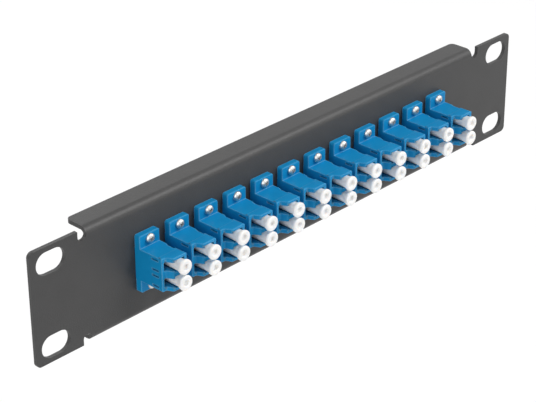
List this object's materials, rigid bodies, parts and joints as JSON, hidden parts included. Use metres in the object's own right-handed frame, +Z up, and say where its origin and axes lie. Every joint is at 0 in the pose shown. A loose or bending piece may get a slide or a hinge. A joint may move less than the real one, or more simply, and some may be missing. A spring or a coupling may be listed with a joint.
{
  "type": "fibre patch panel",
  "caption": "Flat folded-steel rack panel carrying a row of upright blue duplex fibre adapters, each with screws and pull-off white dust caps.",
  "frame": {"origin": "middle of the four rack slots, on the front face of the sheet", "axes": "+X along the panel, to the right seen from the front; +Y into the rack; +Z up"},
  "size_m": [0.254, 0.0355, 0.044],
  "materials": {
    "powder_coat": "fine-textured dark grey powder coat",
    "adapter_blue": "moulded blue, satin",
    "cap_white": "soft milky white",
    "nickel": "bright nickel plate",
    "ceramic": "polished ceramic"
  },
  "bodies": {
    "root": {"panel": "powder_coat", "adapter_screws": "nickel", "adapter_nuts": "nickel", "alignment_sleeves": "ceramic", "adapter_housing_01": "adapter_blue", "adapter_housing_02": "adapter_blue", "adapter_housing_03": "adapter_blue", "adapter_housing_04": "adapter_blue", "adapter_housing_05": "adapter_blue", "adapter_housing_06": "adapter_blue", "adapter_housing_07": "adapter_blue", "adapter_housing_08": "adapter_blue", "adapter_housing_09": "adapter_blue", "adapter_housing_10": "adapter_blue", "adapter_housing_11": "adapter_blue", "adapter_housing_12": "adapter_blue", "rear_caps_01": "cap_white", "rear_caps_02": "cap_white", "rear_caps_03": "cap_white", "rear_caps_04": "cap_white", "rear_caps_05": "cap_white", "rear_caps_06": "cap_white", "rear_caps_07": "cap_white", "rear_caps_08": "cap_white", "rear_caps_09": "cap_white", "rear_caps_10": "cap_white", "rear_caps_11": "cap_white", "rear_caps_12": "cap_white"},
    "cap_01_upper": {"front_cap_01_upper": "cap_white"},
    "cap_01_lower": {"front_cap_01_lower": "cap_white"},
    "cap_02_upper": {"front_cap_02_upper": "cap_white"},
    "cap_02_lower": {"front_cap_02_lower": "cap_white"},
    "cap_03_upper": {"front_cap_03_upper": "cap_white"},
    "cap_03_lower": {"front_cap_03_lower": "cap_white"},
    "cap_04_upper": {"front_cap_04_upper": "cap_white"},
    "cap_04_lower": {"front_cap_04_lower": "cap_white"},
    "cap_05_upper": {"front_cap_05_upper": "cap_white"},
    "cap_05_lower": {"front_cap_05_lower": "cap_white"},
    "cap_06_upper": {"front_cap_06_upper": "cap_white"},
    "cap_06_lower": {"front_cap_06_lower": "cap_white"},
    "cap_07_upper": {"front_cap_07_upper": "cap_white"},
    "cap_07_lower": {"front_cap_07_lower": "cap_white"},
    "cap_08_upper": {"front_cap_08_upper": "cap_white"},
    "cap_08_lower": {"front_cap_08_lower": "cap_white"},
    "cap_09_upper": {"front_cap_09_upper": "cap_white"},
    "cap_09_lower": {"front_cap_09_lower": "cap_white"},
    "cap_10_upper": {"front_cap_10_upper": "cap_white"},
    "cap_10_lower": {"front_cap_10_lower": "cap_white"},
    "cap_11_upper": {"front_cap_11_upper": "cap_white"},
    "cap_11_lower": {"front_cap_11_lower": "cap_white"},
    "cap_12_upper": {"front_cap_12_upper": "cap_white"},
    "cap_12_lower": {"front_cap_12_lower": "cap_white"}
  },
  "joints": [
    {"name": "cap_01_upper_pull", "type": "slide", "parent": "root", "child": "cap_01_upper", "axis": [0, -1, 0], "range_m": [0, 0.0124]},
    {"name": "cap_01_lower_pull", "type": "slide", "parent": "root", "child": "cap_01_lower", "axis": [0, -1, 0], "range_m": [0, 0.0124]},
    {"name": "cap_02_upper_pull", "type": "slide", "parent": "root", "child": "cap_02_upper", "axis": [0, -1, 0], "range_m": [0, 0.0124]},
    {"name": "cap_02_lower_pull", "type": "slide", "parent": "root", "child": "cap_02_lower", "axis": [0, -1, 0], "range_m": [0, 0.0124]},
    {"name": "cap_03_upper_pull", "type": "slide", "parent": "root", "child": "cap_03_upper", "axis": [0, -1, 0], "range_m": [0, 0.0124]},
    {"name": "cap_03_lower_pull", "type": "slide", "parent": "root", "child": "cap_03_lower", "axis": [0, -1, 0], "range_m": [0, 0.0124]},
    {"name": "cap_04_upper_pull", "type": "slide", "parent": "root", "child": "cap_04_upper", "axis": [0, -1, 0], "range_m": [0, 0.0124]},
    {"name": "cap_04_lower_pull", "type": "slide", "parent": "root", "child": "cap_04_lower", "axis": [0, -1, 0], "range_m": [0, 0.0124]},
    {"name": "cap_05_upper_pull", "type": "slide", "parent": "root", "child": "cap_05_upper", "axis": [0, -1, 0], "range_m": [0, 0.0124]},
    {"name": "cap_05_lower_pull", "type": "slide", "parent": "root", "child": "cap_05_lower", "axis": [0, -1, 0], "range_m": [0, 0.0124]},
    {"name": "cap_06_upper_pull", "type": "slide", "parent": "root", "child": "cap_06_upper", "axis": [0, -1, 0], "range_m": [0, 0.0124]},
    {"name": "cap_06_lower_pull", "type": "slide", "parent": "root", "child": "cap_06_lower", "axis": [0, -1, 0], "range_m": [0, 0.0124]},
    {"name": "cap_07_upper_pull", "type": "slide", "parent": "root", "child": "cap_07_upper", "axis": [0, -1, 0], "range_m": [0, 0.0124]},
    {"name": "cap_07_lower_pull", "type": "slide", "parent": "root", "child": "cap_07_lower", "axis": [0, -1, 0], "range_m": [0, 0.0124]},
    {"name": "cap_08_upper_pull", "type": "slide", "parent": "root", "child": "cap_08_upper", "axis": [0, -1, 0], "range_m": [0, 0.0124]},
    {"name": "cap_08_lower_pull", "type": "slide", "parent": "root", "child": "cap_08_lower", "axis": [0, -1, 0], "range_m": [0, 0.0124]},
    {"name": "cap_09_upper_pull", "type": "slide", "parent": "root", "child": "cap_09_upper", "axis": [0, -1, 0], "range_m": [0, 0.0124]},
    {"name": "cap_09_lower_pull", "type": "slide", "parent": "root", "child": "cap_09_lower", "axis": [0, -1, 0], "range_m": [0, 0.0124]},
    {"name": "cap_10_upper_pull", "type": "slide", "parent": "root", "child": "cap_10_upper", "axis": [0, -1, 0], "range_m": [0, 0.0124]},
    {"name": "cap_10_lower_pull", "type": "slide", "parent": "root", "child": "cap_10_lower", "axis": [0, -1, 0], "range_m": [0, 0.0124]},
    {"name": "cap_11_upper_pull", "type": "slide", "parent": "root", "child": "cap_11_upper", "axis": [0, -1, 0], "range_m": [0, 0.0124]},
    {"name": "cap_11_lower_pull", "type": "slide", "parent": "root", "child": "cap_11_lower", "axis": [0, -1, 0], "range_m": [0, 0.0124]},
    {"name": "cap_12_upper_pull", "type": "slide", "parent": "root", "child": "cap_12_upper", "axis": [0, -1, 0], "range_m": [0, 0.0124]},
    {"name": "cap_12_lower_pull", "type": "slide", "parent": "root", "child": "cap_12_lower", "axis": [0, -1, 0], "range_m": [0, 0.0124]}
  ]
}
